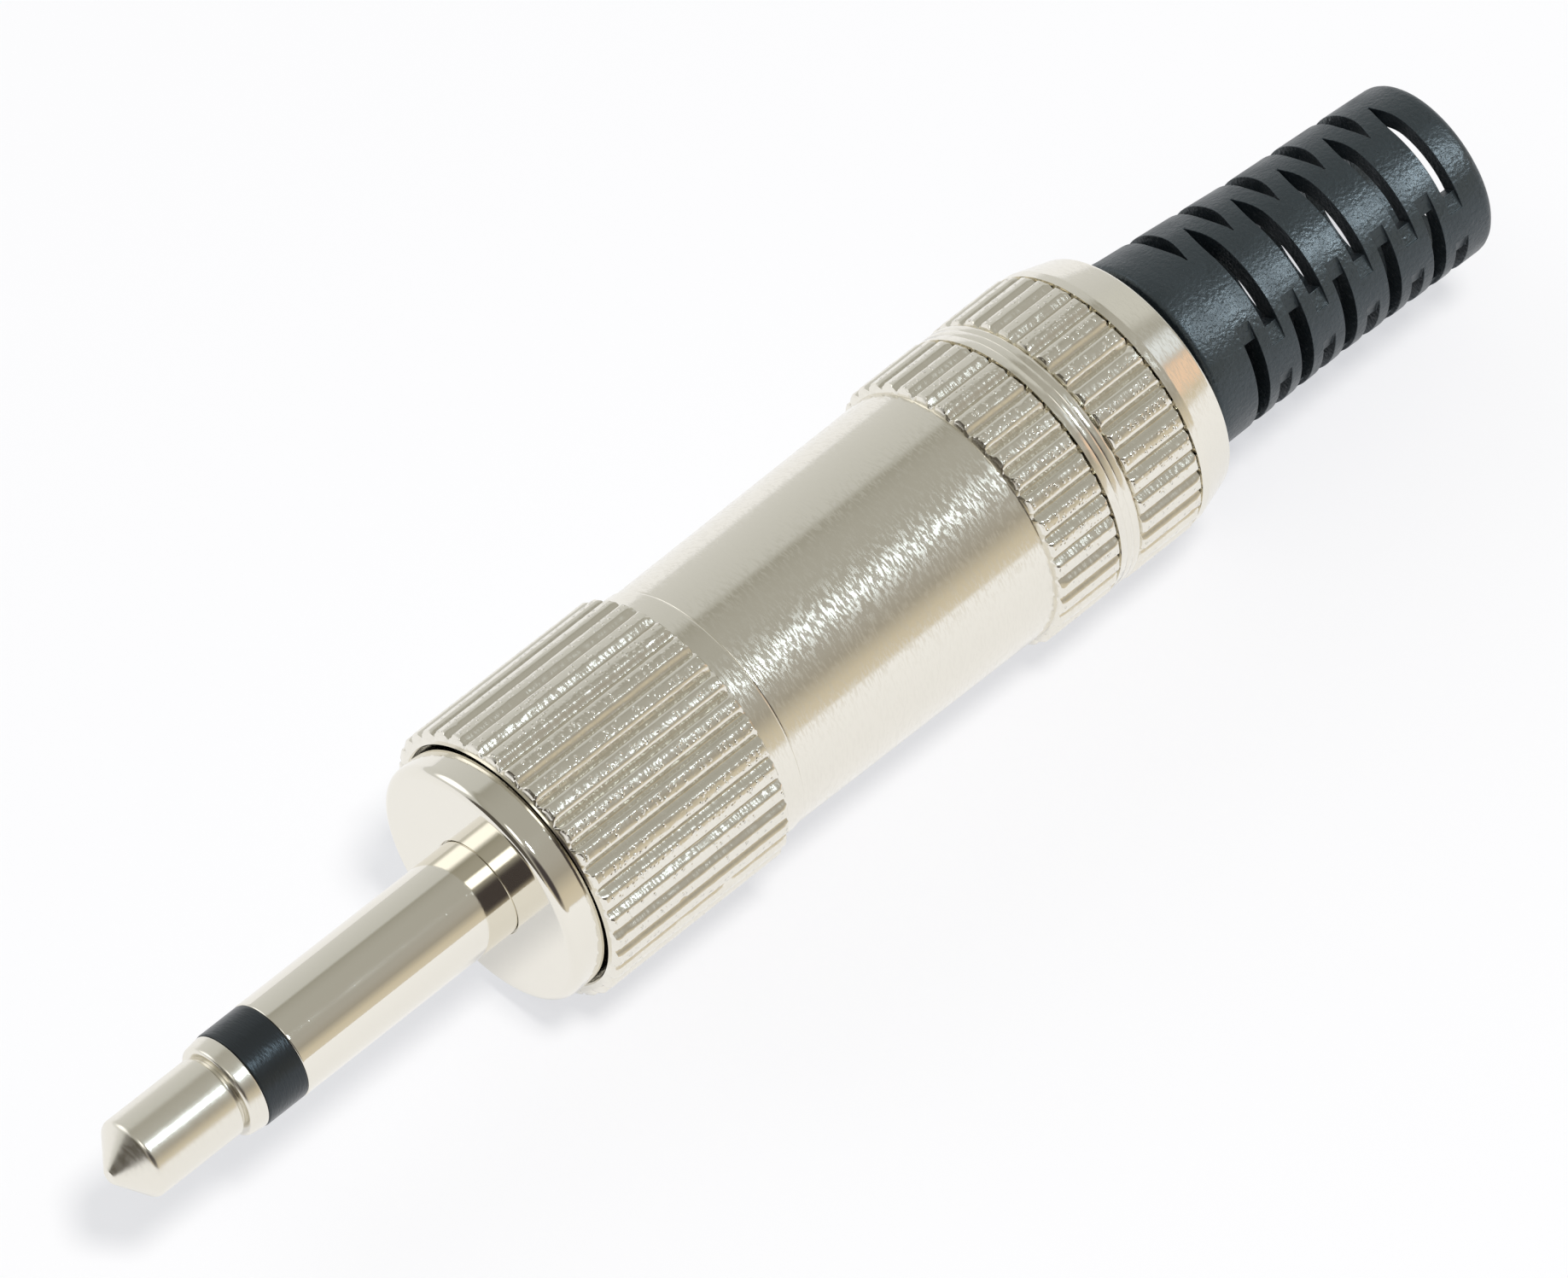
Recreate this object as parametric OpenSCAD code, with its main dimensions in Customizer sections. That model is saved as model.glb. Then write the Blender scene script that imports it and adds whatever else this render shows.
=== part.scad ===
// Mono jack plug, 3.5 mm, with a knurled nose ring, a screwed barrel, a screwed rear cap
// and a slotted strain relief boot. Lengths are in millimetres.
// The plug lies on its side along X with its tip towards -X, resting on its knurled bands.

/* [Tip contact] */
// Diameter of the tip
tip_d = 2.84; // [2.6:0.02:3.1]
// Diameter of the blunt point of the tip
tip_point_d = 0.5; // [0.2:0.1:1.0]
// Length of the cone at the point
tip_cone_len = 0.95; // [0.6:0.05:1.6]
// Length of the tip from its point to the groove
tip_len = 4.3; // [3.4:0.1:5.0]
// Width of the groove behind the tip
tip_groove_len = 0.15; // [0.1:0.05:0.4]
// Depth of the groove behind the tip
tip_groove_depth = 0.17; // [0.05:0.01:0.3]
// Diameter of the collar at its front edge, behind the groove
collar_front_d = 3.26; // [3.0:0.02:3.3]
// Diameter of the collar at the black ring
collar_d = 3.42; // [3.3:0.02:3.5]
// Length of the collar
collar_len = 0.65; // [0.4:0.05:1.2]
// Diameter of the stem that runs back through the plug
stem_d = 0.8; // [0.7:0.05:1.0]
// Diameter of the riveted head at the back of the stem
stem_head_d = 1.7; // [1.4:0.1:2.4]
// Length of the riveted head
stem_head_len = 0.45; // [0.3:0.05:0.8]

/* [Insulators] */
// Diameter of the black ring between tip and sleeve
ring_d = 3.46; // [3.3:0.02:3.5]
// Length of the black ring
ring_len = 1.6; // [1.0:0.1:2.2]
// Wall of the insulating tube round the stem
tube_wall = 0.35; // [0.25:0.05:0.5]
// Diameter of the insulating washer between the two lugs
washer_d = 4.6; // [3.8:0.1:5.4]
// Thickness of the insulating washer
washer_len = 1.0; // [0.6:0.1:1.6]

/* [Sleeve contact] */
// Diameter of the sleeve
sleeve_d = 3.5; // [3.4:0.02:3.6]
// Length of the sleeve in front of the flange
sleeve_len = 8.8; // [7.0:0.05:11.0]
// Diameter of the shank that is pressed through the flange
shank_d = 2.9; // [2.6:0.05:3.0]

/* [Front flange] */
// Diameter of the polished disc
flange_d = 8.85; // [8.0:0.05:9.0]
// How far the disc stands out of the nose ring
flange_stand = 1.2; // [0.6:0.1:2.0]
// How deep the disc sits in the nose ring
flange_seat = 1.0; // [0.6:0.1:1.6]
// Radius of the disc's front edge
flange_round = 0.35; // [0.1:0.05:0.5]
// Width of the small bevel round the sleeve
flange_bevel = 0.1; // [0.05:0.01:0.3]
// Diameter of the boss behind the disc
boss_d = 6.8; // [5.6:0.1:7.2]

/* [Knurl] */
// Diameter over the ridges of all three knurled bands
knurl_d = 10.06; // [9.9:0.02:11.0]
// Number of ridges
knurl_ridges = 36; // [28:4:48]
// Depth of the grooves between the ridges
knurl_depth = 0.25; // [0.1:0.01:0.26]
// Width of each ridge's flat top
knurl_top_w = 0.44; // [0.25:0.01:0.5]
// Diameter of a knurled band at its bevelled ends
knurl_end_d = 9.5; // [9.4:0.02:9.6]
// Length of those bevels
knurl_bevel = 0.14; // [0.08:0.01:0.3]

/* [Nose ring] */
// Length of the nose ring's knurl
nose_knurl_len = 7.5; // [6.0:0.1:10.0]
// Length of the plain land behind that knurl
land_len = 0.9; // [0.5:0.1:2.0]
// Diameter of the land
land_d = 9.3; // [9.0:0.02:9.5]
// Thickness of the web that the flange is pressed into
web_len = 1.0; // [0.6:0.1:1.5]

/* [Barrel] */
// Diameter of the barrel at its front
barrel_front_d = 9.18; // [9.0:0.02:9.4]
// Diameter of the barrel at its knurled band
barrel_rear_d = 9.42; // [9.2:0.02:9.5]
// Length of the smooth part of the barrel
barrel_len = 11.1; // [9.0:0.1:14.0]
// Length of the barrel's knurled band
band_len = 2.7; // [2.0:0.1:4.0]
// Length of the plain ring behind the band
band_ring_len = 0.95; // [0.5:0.05:1.6]
// Diameter of the plain ring
band_ring_d = 9.94; // [9.6:0.02:10.0]
// Radius of the plain ring's rear edge
band_ring_round = 0.3; // [0.1:0.05:0.4]

/* [Threads] */
// Diameter of the barrel's front spigot over its thread
front_thread_d = 7.8; // [7.5:0.05:8.2]
// Diameter of the rear cap's spigot over its thread
rear_thread_d = 8.3; // [8.1:0.05:8.6]
// Length of each threaded spigot
thread_len = 3.2; // [2.4:0.1:4.0]
// Wall of the barrel's front spigot
spigot_wall = 0.4; // [0.3:0.05:0.45]

/* [Lining] */
// Wall of the insulating lining in the barrel
liner_wall = 0.28; // [0.2:0.02:0.34]

/* [Lugs] */
// Thickness of the lugs' sheet metal
lug_t = 0.4; // [0.3:0.05:0.6]
// Length of the sleeve lug's tail
sleeve_tail_len = 13.0; // [9.0:0.5:14.0]
// Width of the sleeve lug's tail
sleeve_tail_w = 2.4; // [2.0:0.1:2.8]
// Length of the cable clamp's ears
ear_len = 2.2; // [1.4:0.1:3.0]
// Height of the cable clamp's ears
ear_h = 2.3; // [1.4:0.1:3.0]
// Length of the tip lug's tail
tip_tail_len = 6.5; // [4.5:0.5:9.0]
// Width of the tip lug's tail
tip_tail_w = 1.7; // [1.5:0.1:2.2]
// Rise of the tip lug's tail above the riveted head
tip_tail_rise = 0.7; // [0.3:0.1:1.0]
// Angle that both lugs are turned round the axis from straight down, in degrees
lug_turn = 14; // [0:1:30]
// Diameter of the solder holes
solder_hole_d = 0.9; // [0.6:0.1:1.1]

/* [Rear cap] */
// Length of the rear cap's knurl
cap_knurl_len = 2.75; // [2.0:0.05:4.0]
// Length of the plain rim behind the knurl
cap_rim_len = 1.7; // [1.2:0.1:2.6]
// Length of the straight part of that rim
cap_rim_flat = 0.3; // [0.1:0.05:0.5]
// Diameter of the straight part of that rim
cap_rim_d = 9.92; // [9.6:0.02:10.0]
// Diameter of the cap at its rear edge
cap_rear_d = 9.1; // [8.6:0.1:9.4]
// Radius of the rear edge
cap_round = 0.15; // [0.05:0.05:0.3]
// Thickness of the cap's rear wall
cap_wall = 1.1; // [0.7:0.1:1.5]
// Wall of the cap's threaded spigot
cap_spigot_wall = 0.45; // [0.35:0.05:0.6]

/* [Boot] */
// Length of the boot behind its neck
boot_len = 12.8; // [12.0:0.1:16.0]
// Diameter of the boot at its front
boot_front_d = 7.3; // [6.8:0.05:7.8]
// Diameter of the boot halfway along
boot_mid_d = 6.64; // [6.2:0.02:7.0]
// Diameter of the boot at its rear end
boot_rear_d = 6.4; // [6.0:0.05:6.8]
// Diameter of the cable hole
boot_bore_d = 5.1; // [3.6:0.1:5.2]
// Diameter of the neck in the cap's rear hole
boot_neck_d = 6.3; // [5.9:0.05:6.5]
// Diameter of the throat in the neck
boot_throat_d = 5.5; // [5.2:0.05:5.6]
// Length of neck that shows behind the cap
boot_neck_show = 0.4; // [0.3:0.05:0.8]
// Thickness of the flange inside the cap
boot_flange_len = 1.2; // [0.8:0.1:2.0]
// Radius of the boot's rear edge
boot_round = 0.4; // [0.1:0.05:0.6]
// Sideways lean of the boot in degrees
boot_lean = 3.2; // [0:0.2:4]
// Number of rings of slots
slot_rings = 10; // [4:1:10]
// Slots in each ring
slot_count = 3; // [2:1:3]
// Distance from the boot's front to the first ring of slots
slot_first = 2.27; // [1.6:0.05:2.4]
// Distance from one ring of slots to the next
slot_step = 1.0; // [0.9:0.05:1.05]
// Width of the slots
slot_w = 0.55; // [0.3:0.05:0.6]
// Angle that each slot of the first ring spans
slot_arc = 63; // [50:1:75]
// Angle that each slot of every other ring spans
slot_arc_other = 77; // [50:1:80]
// Angle that the shallow relief runs on past each slot's end
relief_arc = 11; // [6:1:14]
// Depth of that relief
relief_depth = 0.15; // [0.1:0.05:0.3]
// Angle of the first slot from straight down
slot_start = 26; // [0:1:119]
// Angle that every other ring is turned
slot_turn = 48; // [30:1:60]

/* [Fits] */
// Gap round pieces that are pressed or riveted together
press_gap = 0.02; // [0.01:0.01:0.04]
// Gap between the threads
thread_gap = 0.05; // [0.02:0.01:0.08]
// Gap between the disc and the nose ring
flange_gap = 0.1; // [0.06:0.02:0.14]
// Gap round the lining
liner_gap = 0.06; // [0.03:0.01:0.1]
// Gap round the boot's neck and flange
boot_gap = 0.08; // [0.04:0.02:0.1]
// Gap between the lugs and the lining
lug_gap = 0.1; // [0.05:0.05:0.3]
// End play of the lining and the spigots
end_gap = 0.3; // [0.2:0.05:0.5]

/* [Hidden] */
$fn = 96;

// Stations along the axis, from the point of the tip
x_groove = tip_len;
x_collar = x_groove + tip_groove_len;
x_ring = x_collar + collar_len;
x_sleeve = x_ring + ring_len;
x_flange = x_sleeve + sleeve_len;
x_nose = x_flange + flange_stand;
x_seat = x_nose + flange_seat;
x_web = x_seat + web_len;
x_washer = x_web + lug_t;
x_tip_lug = x_washer + washer_len;
x_stem_head = x_tip_lug + lug_t;
x_land = x_nose + nose_knurl_len;
x_barrel = x_land + land_len;
x_band = x_barrel + barrel_len;
x_band_ring = x_band + band_len;
x_cap = x_band_ring + band_ring_len;
x_cap_rim = x_cap + cap_knurl_len;
x_cap_end = x_cap_rim + cap_rim_len;
x_cap_floor = x_cap_end - cap_wall;
x_boot = x_cap_end + boot_neck_show;

// Radii that follow from the fits
stem_hole_r = stem_d / 2 + press_gap;
tube_r = stem_hole_r + tube_wall;
tube_hole_r = tube_r + press_gap;
sleeve_hole_r = sleeve_d / 2 + press_gap;
shank_hole_r = shank_d / 2 + press_gap;
nose_recess_r = flange_d / 2 + flange_gap;
web_hole_r = boss_d / 2 + press_gap;
nose_thread_r = front_thread_d / 2 + thread_gap;
barrel_bore_r = front_thread_d / 2 - spigot_wall;
liner_r = barrel_bore_r - liner_gap;
liner_bore_r = liner_r - liner_wall;
cap_seat_r = rear_thread_d / 2 + thread_gap;
cap_bore_r = rear_thread_d / 2 - cap_spigot_wall;
cap_hole_r = boot_neck_d / 2 + boot_gap;
boot_flange_r = cap_bore_r - boot_gap;

// Stations of the two screwed joints
x_front_spigot = x_barrel - thread_len;
x_rear_spigot = x_cap - thread_len;
x_rear_seat = x_rear_spigot - end_gap;

// The sleeve's shoulder seats at the bottom of the bevel in the disc
x_shoulder = x_flange + flange_bevel;

// Lugs lie inside the lining
lug_ring_r = liner_bore_r - lug_gap;
tail_r = sqrt(pow(lug_ring_r, 2) - pow(sleeve_tail_w / 2, 2));
tip_tail_z = stem_head_d / 2 + tip_tail_rise;
tip_tail_top = tip_tail_z + lug_t;

// Knurl angles in degrees
knurl_r = knurl_d / 2;
ridge_pitch = 360 / knurl_ridges;
groove_half = (ridge_pitch - knurl_top_w / knurl_r * 180 / PI) / 2;

// How far a cut runs past a face, and a joined shape runs into its neighbour
over = end_gap;
seam = press_gap;

// Steps of a round corner and of a slot's outer edge
corner_steps = 6;
sector_steps = 4;

// The plug rests on the two ridges beside its lowest groove
axis_z = knurl_r * cos(groove_half);

// How far the leaning boot reaches behind its neck
edge_r = boot_rear_d / 2 - boot_round;
boot_reach = (boot_len - boot_round) * cos(boot_lean) + edge_r * sin(boot_lean) + boot_round;
total_len = x_boot + boot_reach;

nickel = "#cfc9bb";
satin_nickel = "#b9b4a6";
tinned = "#c8c6c0";
black_plastic = "#1c1d20";
boot_black = "#2f3236";
clear_liner = "#d9d6c8";

function lerp(a, b, t) = a + (b - a) * t;
function polar(r, angle) = [r * cos(angle), r * sin(angle)];

// Points of a round corner, as [radius, station]
function corner(centre, r, from, to) = [
    for (i = [0:corner_steps]) centre + polar(r, lerp(from, to, i / corner_steps))
];

// Outline of a knurled band, with a groove at the bottom
function knurl_points() = [
    for (i = [0:knurl_ridges - 1])
        each [
            polar(knurl_r - knurl_depth, i * ridge_pitch),
            polar(knurl_r, i * ridge_pitch + groove_half),
            polar(knurl_r, (i + 1) * ridge_pitch - groove_half)
        ]
];

// Puts a shape that is built upwards from zero onto the plug's axis
module along_axis(x = 0) {
    translate([x - total_len / 2, 0, axis_z]) rotate([0, 90, 0]) children();
}

// A turned piece from its [radius, station] outline
module turned(outline) {
    along_axis() rotate_extrude() polygon(outline);
}

// A turned hollow piece between two stations
module tube(r_out, r_in, from, to) {
    turned([[r_in, from], [r_out, from], [r_out, to], [r_in, to]]);
}

// A round bar between two stations, also used as a drill
module round_bar(r, from, to) {
    along_axis(from) cylinder(r = r, h = to - from);
}

// A knurled band, with its ends turned to a bevel that runs on past the ridges
module knurled_band(from, len) {
    end_r = knurl_end_d / 2;
    past_r = 2 * knurl_r - end_r;
    to = from + len;
    intersection() {
        along_axis(from) linear_extrude(len) polygon(knurl_points());
        turned([
            [0, from], [end_r, from], [past_r, from + 2 * knurl_bevel],
            [past_r, to - 2 * knurl_bevel], [end_r, to], [0, to]
        ]);
    }
}

// Turns the lugs round the axis, so that their weight balances the leaning boot
module lug_turned() {
    translate([0, 0, axis_z]) rotate([lug_turn, 0, 0]) translate([0, 0, -axis_z]) children();
}

// A strip of sheet metal along the axis, below it or above it
module strip(from, len, width, z_low) {
    translate([from - total_len / 2, -width / 2, axis_z + z_low]) cube([len, width, lug_t]);
}

// A hole through a strip, across the axis
module solder_hole(x, z_low) {
    translate([x - total_len / 2, 0, axis_z + z_low - lug_t]) cylinder(d = solder_hole_d, h = 3 * lug_t);
}

// Boot shapes lean sideways from the back of the cap
module leaning() {
    translate([x_boot - total_len / 2, 0, axis_z]) rotate([0, 0, -boot_lean]) rotate([0, 90, 0]) children();
}

module tip_contact() {
    tip_r = tip_d / 2;
    groove_r = tip_r - tip_groove_depth;
    stem_r = stem_d / 2;
    color(nickel) turned([
        [0, 0], [tip_point_d / 2, 0], [tip_r, tip_cone_len], [tip_r, x_groove],
        [groove_r, x_groove], [groove_r, x_collar], [collar_front_d / 2, x_collar], [collar_d / 2, x_ring],
        [stem_r, x_ring], [stem_r, x_stem_head], [stem_head_d / 2, x_stem_head],
        [stem_head_d / 2, x_stem_head + stem_head_len], [0, x_stem_head + stem_head_len]
    ]);
}

module tip_insulator() {
    color(black_plastic) turned([
        [stem_hole_r, x_ring], [ring_d / 2, x_ring], [ring_d / 2, x_sleeve], [tube_r, x_sleeve],
        [tube_r, x_tip_lug], [stem_hole_r, x_tip_lug]
    ]);
}

module sleeve_contact() {
    color(nickel) turned([
        [tube_hole_r, x_sleeve], [sleeve_d / 2, x_sleeve], [sleeve_d / 2, x_shoulder],
        [shank_d / 2, x_shoulder], [shank_d / 2, x_washer], [tube_hole_r, x_washer]
    ]);
}

module front_flange() {
    flange_r = flange_d / 2;
    edge = [flange_r - flange_round, x_flange + flange_round];
    color(nickel) turned(concat(
        [[shank_hole_r, x_shoulder], [sleeve_hole_r, x_shoulder], [sleeve_hole_r + flange_bevel, x_flange]],
        corner(edge, flange_round, -90, 0),
        [[flange_r, x_seat], [boss_d / 2, x_seat], [boss_d / 2, x_web], [shank_hole_r, x_web]]
    ));
}

module nose_ring() {
    color(nickel) difference() {
        union() {
            knurled_band(x_nose, nose_knurl_len);
            round_bar(land_d / 2, x_land - over, x_barrel);
        }
        round_bar(nose_recess_r, x_nose - over, x_seat);
        round_bar(web_hole_r, x_seat - over, x_web + over);
        round_bar(nose_thread_r, x_web, x_barrel + over);
    }
}

module sleeve_lug() {
    ear_x = x_web + sleeve_tail_len - ear_len;
    color(tinned) lug_turned() difference() {
        union() {
            tube(lug_ring_r, shank_hole_r, x_web, x_washer);
            strip(x_web, sleeve_tail_len, sleeve_tail_w, -tail_r);
            for (y = [-sleeve_tail_w / 2, sleeve_tail_w / 2 - lug_t])
                translate([ear_x - total_len / 2, y, axis_z - tail_r]) cube([ear_len, lug_t, ear_h]);
        }
        solder_hole(ear_x - 2 * solder_hole_d, -tail_r);
    }
}

module lug_washer() {
    color(black_plastic) tube(washer_d / 2, tube_hole_r, x_washer, x_tip_lug);
}

module tip_lug() {
    x_tail_end = x_tip_lug + tip_tail_len;
    color(tinned) lug_turned() difference() {
        union() {
            tube(tip_tail_top, stem_hole_r, x_tip_lug, x_stem_head);
            translate([x_tip_lug - total_len / 2, -tip_tail_w / 2, axis_z + stem_d])
                cube([lug_t, tip_tail_w, tip_tail_top - stem_d]);
            strip(x_tip_lug, tip_tail_len, tip_tail_w, tip_tail_z);
        }
        solder_hole(x_tail_end - tip_tail_w, tip_tail_z);
    }
}

module barrel_liner() {
    color(clear_liner) tube(liner_r, liner_bore_r, x_front_spigot + end_gap, x_rear_seat);
}

module barrel() {
    ring_r = band_ring_d / 2;
    edge = [ring_r - band_ring_round, x_cap - band_ring_round];
    full_len = barrel_len + over;
    full_d = lerp(barrel_front_d, barrel_rear_d, full_len / barrel_len);
    color(satin_nickel) difference() {
        union() {
            round_bar(front_thread_d / 2, x_front_spigot, x_barrel + over);
            along_axis(x_barrel) cylinder(d1 = barrel_front_d, d2 = full_d, h = full_len);
            knurled_band(x_band, band_len);
            turned(concat(
                [[0, x_band_ring - seam], [ring_r, x_band_ring - seam]],
                corner(edge, band_ring_round, 0, 90),
                [[0, x_cap]]
            ));
        }
        round_bar(barrel_bore_r, x_front_spigot - over, x_cap);
        round_bar(cap_seat_r, x_rear_seat, x_cap + over);
    }
}

module rear_cap() {
    rim_r = cap_rim_d / 2;
    edge = [cap_rear_d / 2 - cap_round, x_cap_end - cap_round];
    color(nickel) difference() {
        union() {
            round_bar(rear_thread_d / 2, x_rear_spigot, x_cap + over);
            knurled_band(x_cap, cap_knurl_len);
            turned(concat(
                [[0, x_cap_rim - seam], [rim_r, x_cap_rim - seam], [rim_r, x_cap_rim + cap_rim_flat]],
                corner(edge, cap_round, 0, 90),
                [[0, x_cap_end]]
            ));
        }
        round_bar(cap_bore_r, x_rear_spigot - over, x_cap_floor);
        round_bar(cap_hole_r, x_cap_floor - over, x_cap_end + over);
    }
}

// Outline of one slot seen along the boot, from inside the bore out past the boot's skin
module slot_sector(arc) {
    inner = boot_bore_d / 4;
    outer = boot_front_d;
    polygon(concat(
        [polar(inner, arc / 2), polar(inner, -arc / 2)],
        [for (i = [0:sector_steps]) polar(outer, lerp(-arc / 2, arc / 2, i / sector_steps))]
    ));
}

// Outline of a ring of slots that go through the wall, with a shallow relief past their ends
module slot_outline(arc, relief_r) {
    for (i = [0:slot_count - 1])
        rotate(slot_start + i * 360 / slot_count) {
            slot_sector(arc);
            difference() {
                slot_sector(arc + 2 * relief_arc);
                circle(r = relief_r);
            }
        }
}

module boot() {
    mid_z = boot_len / 2;
    edge = [edge_r, boot_len - boot_round];
    color(boot_black) difference() {
        union() {
            round_bar(boot_flange_r, x_cap_floor - boot_flange_len, x_cap_floor);
            round_bar(boot_neck_d / 2, x_cap_floor - boot_flange_len / 2, x_boot + slot_first / 2);
            leaning() rotate_extrude() polygon(concat(
                [[0, 0], [boot_front_d / 2, 0], [boot_mid_d / 2, mid_z]],
                corner(edge, boot_round, 0, 90),
                [[0, boot_len]]
            ));
        }
        round_bar(boot_throat_d / 2, x_cap_floor - boot_flange_len - over, x_boot + over);
        leaning() translate([0, 0, -over]) cylinder(d = boot_bore_d, h = boot_len + 2 * over);
        leaning() for (k = [0:slot_rings - 1]) {
            z = slot_first + k * slot_step;
            other = k % 2;
            arc = other ? slot_arc_other : slot_arc;
            skin_r = z < mid_z
                ? lerp(boot_front_d, boot_mid_d, z / mid_z) / 2
                : lerp(boot_mid_d, boot_rear_d, z / mid_z - 1) / 2;
            translate([0, 0, z - slot_w / 2]) rotate([0, 0, other * slot_turn])
                linear_extrude(slot_w) slot_outline(arc, skin_r - relief_depth);
        }
    }
}

tip_contact();
tip_insulator();
sleeve_contact();
front_flange();
nose_ring();
sleeve_lug();
lug_washer();
tip_lug();
barrel_liner();
barrel();
rear_cap();
boot();
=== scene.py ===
# %% [markdown]
# # Mono jack plug
#
# A 3.5 mm mono jack plug lies on its side: a polished pin, a disc, a knurled nose ring, a satin barrel,
# a knurled rear cap and a slotted black boot.
# Each piece that shows is made again here at full detail, in the place and form of its solid.
# The four solids inside stay as they are and only get a finish.

# %% Load the frame
import math
import random

import bmesh
import bpy
from mathutils import Matrix, Quaternion, Vector, noise


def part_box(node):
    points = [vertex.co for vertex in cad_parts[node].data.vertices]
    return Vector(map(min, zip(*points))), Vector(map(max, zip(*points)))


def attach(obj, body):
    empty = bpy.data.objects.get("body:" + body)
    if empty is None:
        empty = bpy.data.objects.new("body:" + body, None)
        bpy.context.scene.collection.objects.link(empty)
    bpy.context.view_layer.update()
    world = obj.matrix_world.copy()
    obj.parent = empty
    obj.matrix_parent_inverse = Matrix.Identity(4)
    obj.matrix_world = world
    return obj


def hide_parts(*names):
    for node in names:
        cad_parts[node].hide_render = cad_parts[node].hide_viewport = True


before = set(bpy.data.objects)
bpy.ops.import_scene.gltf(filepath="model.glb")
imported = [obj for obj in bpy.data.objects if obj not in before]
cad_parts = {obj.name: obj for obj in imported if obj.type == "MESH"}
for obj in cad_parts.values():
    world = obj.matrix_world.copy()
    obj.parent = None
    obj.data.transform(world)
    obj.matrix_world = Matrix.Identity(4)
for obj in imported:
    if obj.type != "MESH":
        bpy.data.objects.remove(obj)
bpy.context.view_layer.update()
print("nodes:", ", ".join(sorted(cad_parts)))

# %% [markdown]
# ## Stations along the axis
#
# Turned work is drawn as a half outline: how far along the axis, and how far from it.
# All stations are counted in millimetres from the point of the tip, as on a turner's drawing.
# The tip and the height of the axis come from the frame, so every piece stays with its solid.

# %% The axis
MM = 0.001
TIP_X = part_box("tip_contact")[0].x
pin_low, pin_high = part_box("sleeve_contact")
AXIS_Z = (pin_low.z + pin_high.z) / 2


def span(node):
    """First station, last station and largest radius of a solid, in mm."""
    low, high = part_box(node)
    return (low.x - TIP_X) / MM, (high.x - TIP_X) / MM, (high.y - low.y) / 2 / MM


def on_axis(x, r, angle):
    """A point at a station, at a radius, at an angle from straight down."""
    return Vector((TIP_X + x * MM, r * MM * math.sin(angle), AXIS_Z - r * MM * math.cos(angle)))


print(f"tip at {TIP_X / MM:.2f} mm, axis {AXIS_Z / MM:.2f} mm above the floor")

# %% [markdown]
# ## Broken edges
#
# No turned edge is truly sharp: polishing and plating leave a small radius that catches the light.
# A bevel modifier would do it too, but arcs in the outline keep the long mirrors perfectly straight.
# A guard row on each side of an arc keeps its shading from creeping along the mirror beside it.

# %% Outline with round corners
GUARD = 0.05
ARC_SHARE = 0.49


def rounded(corners, steps=5):
    """Turns (station, radius, corner radius) into an outline with arcs and their guard rows."""
    outline = []
    for i, (x, r, fillet) in enumerate(corners):
        if not fillet:
            outline.append((x, r))
            continue
        here = Vector((x, r))
        back = Vector(corners[i - 1][:2]) - here
        ahead = Vector(corners[(i + 1) % len(corners)][:2]) - here
        half = back.angle(ahead) / 2
        reach = min(fillet / math.tan(half), ARC_SHARE * back.length, ARC_SHARE * ahead.length)
        radius = reach * math.tan(half)
        centre = here + (back.normalized() + ahead.normalized()).normalized() * radius / math.sin(half)
        first = here + back.normalized() * reach - centre
        last = here + ahead.normalized() * reach - centre
        turn = first.angle_signed(last)
        if reach + GUARD < back.length / 2:
            outline.append(tuple(here + back.normalized() * (reach + GUARD)))
        for k in range(steps + 1):
            arm = first.copy()
            arm.rotate(Matrix.Rotation(-turn * k / steps, 2))
            outline.append(tuple(centre + arm))
        if reach + GUARD < ahead.length / 2:
            outline.append(tuple(here + ahead.normalized() * (reach + GUARD)))
    return outline


print(f"guard rows {GUARD} mm from each arc")

# %% [markdown]
# ## The lathe
#
# One closed outline swept once round the axis gives a watertight piece with even quads.
# A screw modifier would sweep it too, but a loop can also ask a cutter how far out it lets the metal stand.
# That is how knurls and threads are cut in the same sweep, with no boolean to leave ragged faces.

# %% Lathe
COLUMNS = 192
EVEN = [math.tau * i / COLUMNS for i in range(COLUMNS)]
SAME_PLACE = 1e-7
NO_LENGTH = 1e-8
SHARP_ABOVE = math.radians(38)


def clean_mesh(name, points, faces):
    """A mesh with no doubled points, all faces outward, and smooth up to its sharp edges."""
    mesh = bpy.data.meshes.new(name)
    mesh.from_pydata(points, [], faces)
    work = bmesh.new()
    work.from_mesh(mesh)
    bmesh.ops.remove_doubles(work, verts=work.verts, dist=SAME_PLACE)
    bmesh.ops.dissolve_degenerate(work, dist=NO_LENGTH, edges=work.edges)
    bmesh.ops.recalc_face_normals(work, faces=work.faces)
    work.to_mesh(mesh)
    work.free()
    mesh.shade_smooth()
    mesh.set_sharp_from_angle(angle=SHARP_ABOVE)
    return mesh


def lathe(name, outline, angles=EVEN, cutter=None):
    """A turned piece from a closed (station, radius) outline in mm."""
    points = []
    for x, r in outline:
        for angle in angles:
            points.append(on_axis(x, min(r, cutter(x, angle)) if cutter else r, angle))
    rows, columns = len(outline), len(angles)
    faces = []
    for i in range(rows):
        for j in range(columns):
            k, m = (i + 1) % rows, (j + 1) % columns
            faces.append((i * columns + j, i * columns + m, k * columns + m, k * columns + j))
    return clean_mesh(name, points, faces)


print(f"lathe: {COLUMNS} columns round the axis")

# %% [markdown]
# ## Handing over a piece
#
# Each piece is shown in place of one solid and moves with that solid's body.
# Plain smooth shading would bend the reflections near every edge.
# Weighted normals let the widest faces rule instead, so that a mirror stays straight up to its arc.

# %% Hand-over
WIDEST_RULE = 100


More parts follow.
